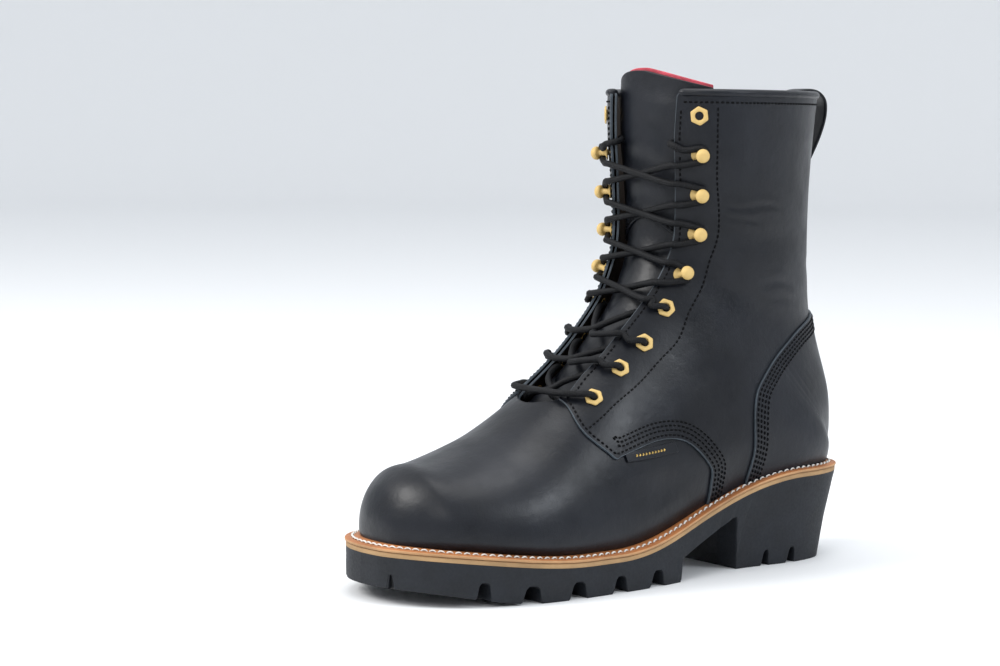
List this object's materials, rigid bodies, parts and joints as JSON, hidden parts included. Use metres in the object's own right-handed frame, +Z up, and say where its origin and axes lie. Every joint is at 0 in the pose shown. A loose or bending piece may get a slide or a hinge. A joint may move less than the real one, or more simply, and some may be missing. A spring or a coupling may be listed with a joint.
{
  "type": "logger boot",
  "caption": "Tall lace-up work boot with a raised block heel, a lugged sole, a stitched welt, eyelets and lace hooks.",
  "frame": {"origin": "on the floor under the middle of the boot's box", "axes": "+X to the outer side of this left boot, -Y to the toe, +Z up"},
  "size_m": [0.1202, 0.3022, 0.2658],
  "materials": {
    "black_rubber": "matt moulded",
    "midsole_leather": "trimmed edge",
    "tan_welt": "satin, waxed",
    "insole_leather": "matt",
    "black_leather": "oiled, soft sheen",
    "brass": "polished, lightly worn",
    "black_cord": "matt braid"
  },
  "bodies": {
    "root": {"outsole": "black_rubber", "midsole": "midsole_leather", "welt": "tan_welt", "insole": "insole_leather", "upper": "black_leather", "tongue": "black_leather", "collar_binding": "black_leather", "pull_loop": "black_leather", "side_tag": "black_leather", "eyelet_outer_1": "brass", "eyelet_inner_1": "brass", "eyelet_outer_2": "brass", "eyelet_inner_2": "brass", "eyelet_outer_3": "brass", "eyelet_inner_3": "brass", "eyelet_outer_4": "brass", "eyelet_inner_4": "brass", "hook_outer_5": "brass", "hook_inner_5": "brass", "hook_outer_6": "brass", "hook_inner_6": "brass", "hook_outer_7": "brass", "hook_inner_7": "brass", "hook_outer_8": "brass", "hook_inner_8": "brass", "eyelet_outer_9": "brass", "eyelet_inner_9": "brass", "lace_bar": "black_cord", "lace_inner_cross": "black_cord", "lace_cross_2": "black_cord", "lace_cross_3": "black_cord", "lace_run": "black_cord"}
  },
  "joints": []
}
